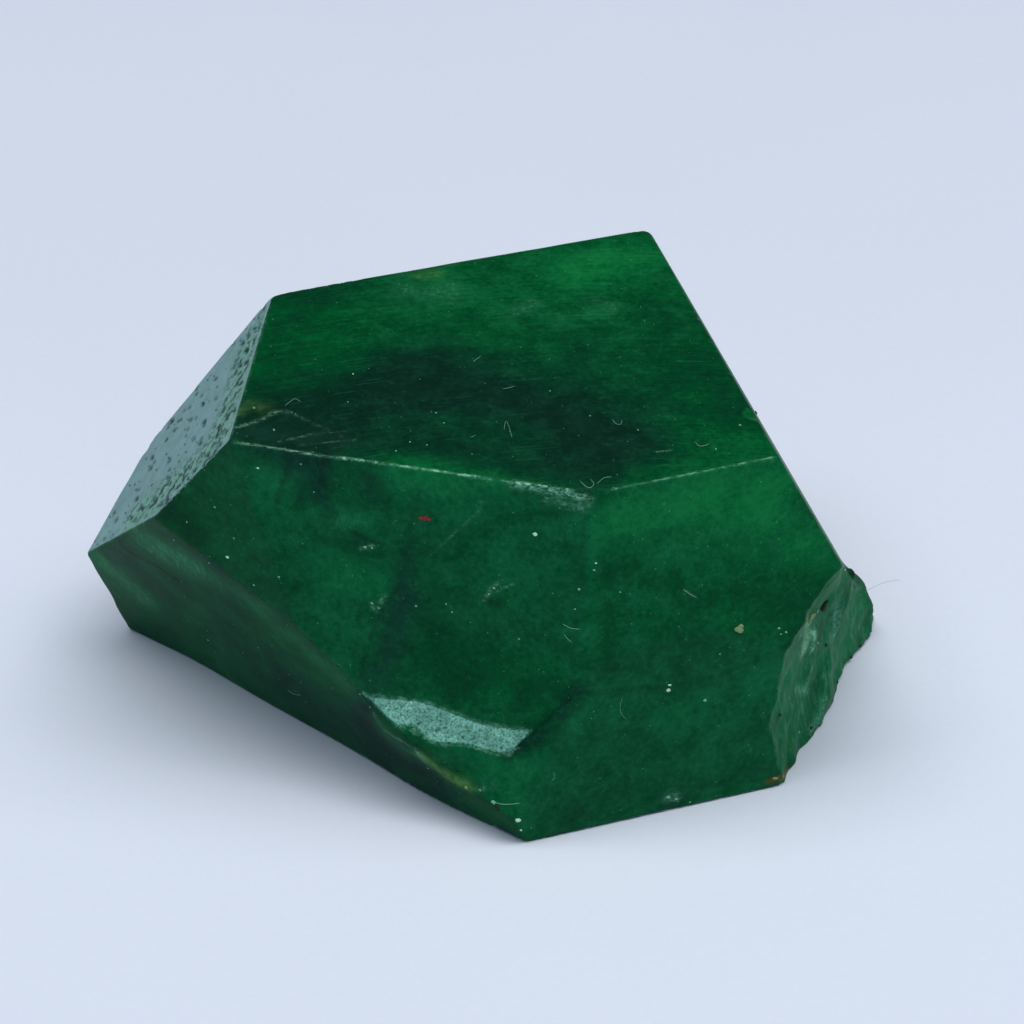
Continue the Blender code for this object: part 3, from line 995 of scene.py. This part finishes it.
emerald = {  # sizes and widths in mm, the rest are shares from 0 to 1
    "stops": {"cloud": 0.0, "dark": 0.28, "deep": 0.5, "light": 0.75, "glow": 1.0},
    "size": {"broad": 6.0, "middle": 1.6, "fine": 0.36, "dusty": 0.12},  # of the cloudy patterns
    "shift": {"broad": 0.5, "middle": 0.42, "fine": 0.5, "dusty": 0.3, "ground": 0.4},  # of the tone by each
    "arcs": {"middle": (12.0, -75.0, 0.0), "width": 0.16, "length": 4.5},  # grinding arcs of the top face
    "scratch": 0.3,
    "veil": 0.5,
    "net": {"scale": 0.42, "warp": 1.6, "line": 0.16, "glow": 0.12},  # healed cracks, as a thin pale net
    "speck": {"dusty": 0.22, "fine": 0.06},
    "dots": {"along": 1.3, "across": 0.36, "dark": 0.7},  # the sawn face's small dark dots
    "broken": {"size": 0.32, "stretch": 0.28, "pale": 0.16, "dark": 0.35},  # streaks of the broken corner
    "spark": 0.65,
    "roughness": 0.38,
    "ior": 1.58,
    "scatter": {"weight": 0.15, "reach": 0.6, "color": (0.2, 1.0, 0.5)},
    "specular": {"clear": 0.02, "sawn": 0.15},
}


def cloudyTone(graph, inMm, broad, middle, fine, dusty):
    # how light the stone is at each place, with the painted glow and shade of the marks, and its grinding
    # arcs
    shift = emerald["shift"]
    tone = graph.mask("tone") + broad * shift["broad"] + middle * shift["middle"]
    tone = tone + fine * shift["fine"] + (dusty - 0.5) * shift["dusty"]
    arcs = emerald["arcs"]
    flat = graph.scaled(inMm, (1.0, 1.0, 0.0))
    ends = {0: flat, 1: arcs["middle"]}
    outward = graph.add("ShaderNodeVectorMath", {"operation": "DISTANCE"}, ends, 1)
    sideways = graph.add("ShaderNodeSeparateXYZ", {}, {0: inMm}, 0)
    place = {0: outward / arcs["width"], 1: sideways / arcs["length"]}
    ground = graph.grain(graph.add("ShaderNodeCombineXYZ", {}, place), 1.0, 2.0, 0.6)
    return tone + (ground - 0.5) * graph.mask("streak") * shift["ground"], ground


def crackNet(graph, inMm, broad, color):
    net = emerald["net"]
    waves = graph.add("ShaderNodeTexNoise", {}, {"Vector": inMm, "Scale": 0.9, "Detail": 2.0}, 1)
    ends = {0: waves, 1: (net["warp"], net["warp"], net["warp"]), 2: inMm}
    warped = graph.add("ShaderNodeVectorMath", {"operation": "MULTIPLY_ADD"}, ends)
    cells = {"Vector": warped, "Scale": net["scale"]}
    gap = graph.add("ShaderNodeTexVoronoi", {"feature": "DISTANCE_TO_EDGE"}, cells)
    shows = broad.ramp(-0.08, 0.12) * graph.mask("crack")
    color = graph.mix(gap.ramp(0.03, 0.0) * shows * net["line"], color, tones["veil"])
    return graph.mix(gap.ramp(0.16, 0.03) * shows * net["glow"], color, tones["light"])


def darkDots(graph, inMm):
    # 1 in the middle of each dot; a dot's own luck decides its size and whether it shows
    dots = emerald["dots"]
    along, across = faceAxes("left")
    place = graph.add("ShaderNodeCombineXYZ", {}, {
        0: graph.along(inMm, along) / dots["along"],
        1: graph.along(inMm, across) / dots["across"],
    })
    cells = {"Vector": place, "Scale": 1.0}
    gap = graph.add("ShaderNodeTexVoronoi", {}, cells, 0)
    luck = graph.add("ShaderNodeSeparateXYZ", {}, {0: graph.add("ShaderNodeTexVoronoi", {}, cells, 1)}, 0)
    return (gap - luck * 0.2).ramp(0.14, 0.0) * luck.ramp(0.1, 0.6) * dots["dark"]


def emeraldMaterial():
    material, graph = newMaterial("emerald")
    inMm = graph.placeInMm()
    size = emerald["size"]
    broad = graph.grain(inMm, size["broad"], 2.0, 0.5, 0.4) - 0.5
    middle = graph.grain(inMm, size["middle"], 2.0, 0.5, 0.3) - 0.5
    fine = graph.grain(inMm, size["fine"], 2.0, 0.6) - 0.5
    dusty = graph.grain(inMm, size["dusty"], 2.0, 0.55)
    tone, ground = cloudyTone(graph, inMm, broad, middle, fine, dusty)
    stops = [(place, tones[name]) for name, place in emerald["stops"].items()]
    color = graph.add("ShaderNodeValToRGB", {"stops": stops}, {"Fac": tone})
    scratch = ground.ramp(0.6, 0.74) * graph.mask("streak") * broad.ramp(-0.1, 0.15) * emerald["scratch"]
    # milky veil, with painted sheen where marks add to it
    veil = (graph.mask("veil") + middle * 0.4 + fine * 0.3).limited() * emerald["veil"] + scratch
    color = graph.mix(veil, color, tones["veil"])
    color = crackNet(graph, inMm, broad, color)
    speck = emerald["speck"]
    specks = dusty.ramp(0.66, 0.73) * speck["dusty"] + fine.ramp(0.14, 0.2) * speck["fine"]
    color = graph.mix(specks, color, tones["veil"])
    # moss-green tint with painted glow and glint, then rust
    for name in ("moss", "rust"):
        color = graph.mix(graph.mask(name) * (1.0 + fine * 2.0), color, tones[name])
    # frosted faces, with a painted bluish sheen and painted sparkle, and their pits
    frost = (graph.mask("frost") + fine * 0.5).ramp(0.25, 0.75)
    speckled = graph.mask("veil").limited()
    # frosted colour, bluish where a reflection of the sky is painted in
    frostSheenColor = graph.mix(speckled, tones["frost"], tones["frostGreen"])
    mottle = (fine * 1.3 + middle * 0.5 + (dusty - 0.5) * 1.15) * (speckled * 0.7 + 0.3)
    color = graph.mix(frost * (0.76 + middle * 0.3 + mottle).limited(), color, frostSheenColor)
    spark = dusty.ramp(0.56, 0.64) * frost * speckled * middle.ramp(-0.2, 0.15) * emerald["spark"]
    color = graph.mix(spark, color, tones["spark"])
    pit = (graph.mask("pit") * 1.1 + dusty.ramp(0.4, 0.32) * frost * speckled * 0.4).limited()
    color = graph.mix(pit, color, tones["pit"])
    color = graph.mix(darkDots(graph, inMm) * frost * (1.0 - speckled), color, tones["pit"])
    # streaks of the broken corner
    broken = emerald["broken"]
    onBroken = graph.mask("veil").ramp(0.2, 0.35) * (1.0 - frost)
    streaky = graph.grain(graph.scaled(inMm, (1.0, 1.0, broken["stretch"])), broken["size"], 3.0, 0.65)
    color = graph.mix(onBroken * streaky.ramp(0.5, 0.72) * broken["pale"], color, tones["pale"])
    color = graph.mix(onBroken * streaky.ramp(0.48, 0.3) * broken["dark"], color, tones["dark"])
    # pale scratches and worn edges, and the painted glint of the broken corner's slab, then black spots
    drawnOut = graph.grain(graph.scaled(inMm, (0.35, 1.0, 1.0)), 0.16, 2.0, 0.6)
    pale = (graph.mask("pale") * (drawnOut.ramp(0.38, 0.6) + dusty.ramp(0.4, 0.6) * 0.5)).limited()
    color = graph.mix(pale, color, tones["pale"])
    color = graph.mix(graph.mask("dark").limited(), color, tones["black"])
    height = fine * 0.01 + dusty * 0.006 * (0.4 + frost * 2.0) + ground * graph.mask("streak") * 0.004
    bump = graph.add("ShaderNodeBump", {}, {"Strength": 1.0, "Distance": mm, "Height": height})
    scatter = emerald["scatter"]
    looks = {
        "Base Color": color,
        "Roughness": emerald["roughness"] + frost * 0.25 + fine * 0.2,
        "Normal": bump,
        "IOR": emerald["ior"],
        "Subsurface Weight": scatter["weight"],
        "Subsurface Radius": scatter["color"],
        "Subsurface Scale": scatter["reach"] * mm,
    }
    clear, sawn = [
        graph.add("ShaderNodeBsdfPrincipled", {}, {**looks, "Specular IOR Level": level})
        for level in emerald["specular"].values()
    ]
    both = graph.add("ShaderNodeMixShader", {}, {0: frost, 1: clear, 2: sawn})
    graph.add("ShaderNodeOutputMaterial", {}, {"Surface": both})
    return material


def addPiece(name, data, material):
    piece = bpy.data.objects.new(name, data)
    data.materials.clear()
    data.materials.append(material)
    bpy.context.scene.collection.objects.link(piece)
    return piece


stone = addPiece("emerald_stone", stoneData, emeraldMaterial())


dust = {"density": 0.34, "least": 0.012, "greatest": 0.034, "seed": 12}  # grains a mm2, radii in mm

grains = {  # picture place and radius in mm, by colour
    "pale": {
        "color": shade(168, 206, 176),
        "rough": 0.3,
        "flat": 0.6,
        "seed": 3,
        "at": [(227.5, 557, 0.1), (535, 534, 0.12), (668, 690, 0.12), (669.5, 685, 0.08), (518, 820, 0.15),
               (521, 830, 0.07), (596, 563, 0.06), (845, 570, 0.05), (258, 468, 0.06), (353, 374, 0.05)],
    },
    "dim": {
        "color": shade(104, 158, 126),
        "rough": 0.3,
        "flat": 0.5,
        "seed": 4,
        "at": [(705, 700, 0.1), (493.6, 802, 0.12), (274, 430, 0.07), (215, 507, 0.06),
               (187, 522, 0.06), (174, 540, 0.06), (209, 563, 0.05), (279, 577, 0.06), (254, 585, 0.06),
               (301, 464, 0.05), (314, 492, 0.04), (234, 538, 0.05), (348, 402, 0.05),
               (436, 413, 0.06), (444, 423, 0.05), (410, 442, 0.05), (427, 445, 0.05), (396, 451, 0.05),
               (472, 454, 0.04), (550, 391, 0.05), (740, 425, 0.07), (590, 416, 0.05), (638, 430, 0.05),
               (716, 449, 0.05), (519, 639, 0.05), (452, 612, 0.05), (594, 570, 0.07),
               (579, 589, 0.07), (575, 609, 0.05), (620, 592, 0.05), (779, 628, 0.07), (786, 632, 0.07),
               (781, 634, 0.05), (720, 654, 0.05), (668, 797, 0.11), (676, 799, 0.08), (690, 802, 0.05),
               (818, 643, 0.08), (789, 698, 0.06), (799, 732, 0.07), (208, 640, 0.05),
               (416, 606, 0.06), (446, 604, 0.05), (372, 603, 0.07), (379, 608, 0.06), (365, 547, 0.08),
               (372, 548, 0.06), (489, 594, 0.06), (494, 588, 0.07), (360, 694, 0.06), (370, 707, 0.05)],
    },
    "tan": {
        "color": shade(112, 134, 88),
        "rough": 0.45,
        "flat": 0.45,
        "seed": 5,
        "at": [(738.5, 629, 0.25), (741, 626, 0.15), (812, 616, 0.2), (806, 622, 0.16),
               (817, 611, 0.12), (466, 787, 0.12), (428, 768, 0.07), (480, 790, 0.09),
               (775, 778, 0.14), (783, 776, 0.1), (254, 408, 0.08)],
    },
    "red": {"color": shade(120, 22, 28), "rough": 0.3, "flat": 0.35, "seed": 7,
            "at": [(421, 518, 0.13), (425, 518, 0.15), (429, 519, 0.11)]},
    "dark": {
        "color": shade(20, 26, 18),
        "rough": 0.4,
        "flat": 0.6,
        "seed": 8,
        "at": [(823, 607, 0.26), (826, 602, 0.16), (498, 809, 0.14), (496, 806, 0.1),
               (755.5, 413, 0.12), (852, 573, 0.14), (860, 646, 0.1), (851, 657, 0.1),
               (837, 682, 0.1), (811, 728, 0.1), (826, 645, 0.1), (780, 715, 0.1)],
    },
}

lint = {  # picture places that each fibre runs through, and its radius in mm
    "sill": ([(494, 802), (502, 804), (511, 804), (520, 803)], 0.018),
    "hookTop": ([(473, 362), (477, 359), (481, 356)], 0.013),
    "curlTop": ([(504, 430), (506, 421), (510, 430), (512, 438)], 0.010),
    "hookRight": ([(612, 419), (616, 424), (621, 424), (622, 420)], 0.012),
    "curlRight": ([(695, 442), (699, 446), (704, 446), (709, 444)], 0.013),
    "dashTop": ([(503, 389), (509, 388), (515, 386)], 0.012),
    "dashLow": ([(470, 438), (476, 435)], 0.011),
    "arcRidge": ([(580, 481), (585, 486), (590, 488), (594, 484), (590, 479)], 0.014),
    "arcRidgeRight": ([(597, 484), (604, 478), (612, 477)], 0.012),
    "midA": ([(563, 624), (571, 628), (580, 629)], 0.014),
    "midB": ([(564, 634), (568, 639), (572, 642)], 0.012),
    "flake": ([(285, 406), (290, 402), (295, 399), (301, 402)], 0.012),
    "foot": ([(622, 699), (620, 706), (621, 713), (626, 719)], 0.010),
    "curlBottom": ([(553, 772), (555, 777), (551, 781)], 0.010),
    "rightDash": ([(683, 589), (690, 594), (697, 598)], 0.013),
    "hair": ([(858, 596), (866, 591), (874, 587), (886, 582), (900, 580)], 0.010),
    "leftArc": ([(288, 690), (294, 694), (301, 695)], 0.010),
}


def plainMaterial(name, color, roughness):
    material, graph = newMaterial(name)
    looks = {"Base Color": color, "Roughness": roughness, "Specular IOR Level": 0.3}
    shader = graph.add("ShaderNodeBsdfPrincipled", {}, looks)
    graph.add("ShaderNodeOutputMaterial", {}, {"Surface": shader})
    return material


def ballShape():
    bm = bmesh.new()
    bmesh.ops.create_icosphere(bm, subdivisions=2, radius=1.0)
    points = np.array([vert.co for vert in bm.verts])
    triangles = np.array([[vert.index for vert in face.verts] for face in bm.faces])
    bm.free()
    return points, triangles


def addGrains(color, setting):
    # lumps that lie on the stone, partly sunk in it
    ball, faces = ballShape()
    points = []
    triangles = []
    for k, (u, v, radius) in enumerate(setting["at"]):
        place, out = placeOn(u, v, dressed)
        lump = ball * (1.0 + 2.0 * setting["rough"] * noiseAt(ball, 0.8, setting["seed"] + 3.7 * k)[:, None])
        side = np.cross(out, (0.3, 0.2, 0.9))
        side /= np.linalg.norm(side)
        other = np.cross(out, side)
        lump = lump[:, :1] * side * 1.15 + lump[:, 1:2] * other * 0.9 + lump[:, 2:] * out * setting["flat"]
        triangles.append(faces + len(ball) * k)
        points.append(place + lump * radius + out * radius * 0.2)
    data = meshData("dirt_" + color, np.concatenate(points), np.concatenate(triangles))
    return addPiece("dirt_" + color, data, plainMaterial("dirt_" + color, setting["color"], 0.7))


def fibrePath(places, lift, step=3):
    # a smooth path over the stone through picture places; past its outline it keeps the last depth
    path = []
    depth = np.linalg.norm(view["at"])
    for u, v in places:
        ray = viewRay(u, v)
        hit = dressed.ray_cast(Vector(view["at"]), Vector(ray))
        if hit[0] is not None:
            depth = hit[3]
            path.append(np.array(hit[0]) + np.array(hit[1]) * lift)
        else:
            path.append(np.array(view["at"]) + ray * depth)
    ends = [2 * path[0] - path[1]] + path + [2 * path[-1] - path[-2]]
    smooth = []
    for a, b, c, d in zip(ends, ends[1:], ends[2:], ends[3:]):
        bend = 2 * a - 5 * b + 4 * c - d
        twist = 3 * b - a - 3 * c + d
        for t in np.arange(step) / step:
            smooth.append(0.5 * (2 * b + (c - a) * t + bend * t ** 2 + twist * t ** 3))
    return np.array(smooth + [path[-1]])


def tube(path, radius, sides=6):
    # a closed tube along a path, thinner at its ends
    points = []
    count = len(path)
    for k, place in enumerate(path):
        run = path[min(k + 1, count - 1)] - path[max(k - 1, 0)]
        run /= np.linalg.norm(run)
        side = np.cross(run, (0.0, 0.0, 1.0))
        side /= np.linalg.norm(side)
        other = np.cross(run, side)
        size = radius * (1.0 if 0 < k < count - 1 else 0.4)
        for j in range(sides):
            turn = 2 * math.pi * j / sides
            points.append(place + (side * math.cos(turn) + other * math.sin(turn)) * size)
    triangles = []
    for k in range(count - 1):
        for j in range(sides):
            a = k * sides + j
            b = k * sides + (j + 1) % sides
            triangles += [(a, b, b + sides), (a, b + sides, a + sides)]
    last = (count - 1) * sides
    for j in range(1, sides - 1):
        triangles += [(0, j + 1, j), (last, last + j, last + j + 1)]
    return np.array(points), np.array(triangles)


def addLint():
    points = []
    triangles = []
    start = 0
    for places, radius in lint.values():
        some, faces = tube(fibrePath(places, radius * 1.2), radius)
        points.append(some)
        triangles.append(faces + start)
        start += len(some)
    data = meshData("lint", np.concatenate(points), np.concatenate(triangles))
    return addPiece("lint", data, plainMaterial("lint", shade(112, 160, 136), 0.8))


def dustTree(material):
    # scatters small lumps over a surface by its "dust" mask, without the surface
    group = bpy.data.node_groups.new("dust", "GeometryNodeTree")
    sockets = {}
    kinds = {"Geometry": "Geometry", "Density": "Float", "Least": "Float", "Greatest": "Float", "Seed": "Int"}
    for name, kind in kinds.items():
        socket = group.interface.new_socket(name=name, in_out="INPUT", socket_type="NodeSocket" + kind)
        sockets[name] = socket.identifier
    group.interface.new_socket(name="Geometry", in_out="OUTPUT", socket_type="NodeSocketGeometry")
    graph = Graph(group)
    given = {name: graph.add("NodeGroupInput", {}, {}, k) for k, name in enumerate(sockets)}
    mask = graph.add("GeometryNodeInputNamedAttribute", {"data_type": "FLOAT"}, {"Name": "dust"})
    density = mask * given["Density"]
    scatter = {"Mesh": given["Geometry"], "Density": density, "Seed": given["Seed"]}
    spots = graph.add("GeometryNodeDistributePointsOnFaces", {"distribute_method": "RANDOM"}, scatter)
    size = {2: given["Least"], 3: given["Greatest"], "Seed": given["Seed"]}
    scale = graph.add("FunctionNodeRandomValue", {"data_type": "FLOAT"}, size, 1)
    turn = {0: (0.0, 0.0, 0.0), 1: (6.28, 6.28, 6.28)}
    rotation = graph.add("FunctionNodeRandomValue", {"data_type": "FLOAT_VECTOR"}, turn, 0)
    lump = graph.add("GeometryNodeMeshIcoSphere", {}, {"Radius": 1.0, "Subdivisions": 1})
    lumps = graph.add("GeometryNodeInstanceOnPoints", {}, {
        "Points": spots, "Instance": lump, "Rotation": rotation, "Scale": scale})
    real = graph.add("GeometryNodeRealizeInstances", {}, {0: lumps})
    painted = graph.add("GeometryNodeSetMaterial", {}, {"Geometry": real, "Material": material})
    graph.add("NodeGroupOutput", {}, {0: painted})
    return group, sockets


def addDust():
    material = plainMaterial("dust", shade(92, 148, 120), 0.8)
    group, sockets = dustTree(material)
    carrier = bpy.data.objects.new("dust_carrier", stoneData.copy())
    bpy.context.scene.collection.objects.link(carrier)
    modifier = carrier.modifiers.new("dust", "NODES")
    modifier.node_group = group
    modifier[sockets["Density"]] = dust["density"] / mm ** 2
    modifier[sockets["Least"]] = dust["least"] * mm
    modifier[sockets["Greatest"]] = dust["greatest"] * mm
    modifier[sockets["Seed"]] = dust["seed"]
    evaluated = carrier.evaluated_get(bpy.context.evaluated_depsgraph_get())
    data = bpy.data.meshes.new_from_object(evaluated)
    carrier.modifiers.remove(modifier)
    bpy.data.objects.remove(carrier)
    data.name = "dust"
    return addPiece("dust", data, material)


dirt = [addGrains(color, setting) for color, setting in grains.items()]
dirt += [addLint(), addDust()]
print("dirt laid:", sum(len(piece.data.polygons) for piece in dirt), "faces")


# a pale floor and soft light
studio = {
    "floor": shade(214, 223, 239),
    "floorSize": 1600.0,
    "sky": (0.72, 1.05, 1.3, 1.0),
    "skyStrength": 0.12,
    "window": 2.6,  # how much brighter the sky is low in front
    "lamp": {
        "at": (50.0, -50.0, 500.0),
        "wide": 800.0,
        "deep": 240.0,
        "power": 3.35,
        "color": (0.99, 0.95, 0.92),
    },
}


def floorMaterial():
    material, graph = newMaterial("floor")
    inMm = graph.placeInMm()
    cloud = graph.grain(inMm, 30.0, 3.0)
    base = studio["floor"]
    paper = cloud * 0.6 + graph.grain(inMm, 0.5, 3.0, 0.7) * 0.8 - 0.2
    color = graph.mix(paper.limited(), tuple(value * 0.93 for value in base[:3]) + (1.0,), base)
    looks = {"Base Color": color, "Roughness": 0.9, "Specular IOR Level": 0.1}
    shader = graph.add("ShaderNodeBsdfPrincipled", {}, looks)
    graph.add("ShaderNodeOutputMaterial", {}, {"Surface": shader})
    return material


def addFloor():
    half = studio["floorSize"] * mm / 2
    data = bpy.data.meshes.new("floor")
    corners = [(-half, -half, 0), (half, -half, 0), (half, half, 0), (-half, half, 0)]
    data.from_pydata(corners, [], [(0, 1, 2, 3)])
    floor = addPiece("floor", data, floorMaterial())


def addLight():
    lamp = studio["lamp"]
    data = bpy.data.lights.new("softbox", "AREA")
    data.shape = "RECTANGLE"
    data.size = lamp["wide"] * mm
    data.size_y = lamp["deep"] * mm
    data.energy = lamp["power"]
    data.color = lamp["color"]
    light = bpy.data.objects.new("softbox", data)
    light.location = Vector(lamp["at"]) * mm
    bpy.context.scene.collection.objects.link(light)
    world = bpy.data.worlds.new("world")
    world.use_nodes = True
    world.node_tree.nodes.clear()
    graph = Graph(world.node_tree)
    place = graph.add("ShaderNodeTexCoord", {}, {}, 0)
    ahead = graph.add("ShaderNodeSeparateXYZ", {}, {0: place}, 1)
    height = graph.add("ShaderNodeSeparateXYZ", {}, {0: place}, 2)
    window = ahead.ramp(-0.4, -0.85) * height.ramp(0.34, 0.1) * studio["window"]
    strength = window + studio["skyStrength"]
    sky = graph.add("ShaderNodeBackground", {}, {"Color": studio["sky"], "Strength": strength})
    graph.add("ShaderNodeOutputWorld", {}, {"Surface": sky})
    bpy.context.scene.world = world
    bpy.context.scene.view_settings.view_transform = "Standard"


addFloor()
addLight()
print("studio ready")


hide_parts("emerald_crystal")
for piece in [stone] + dirt:
    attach(piece, "root")
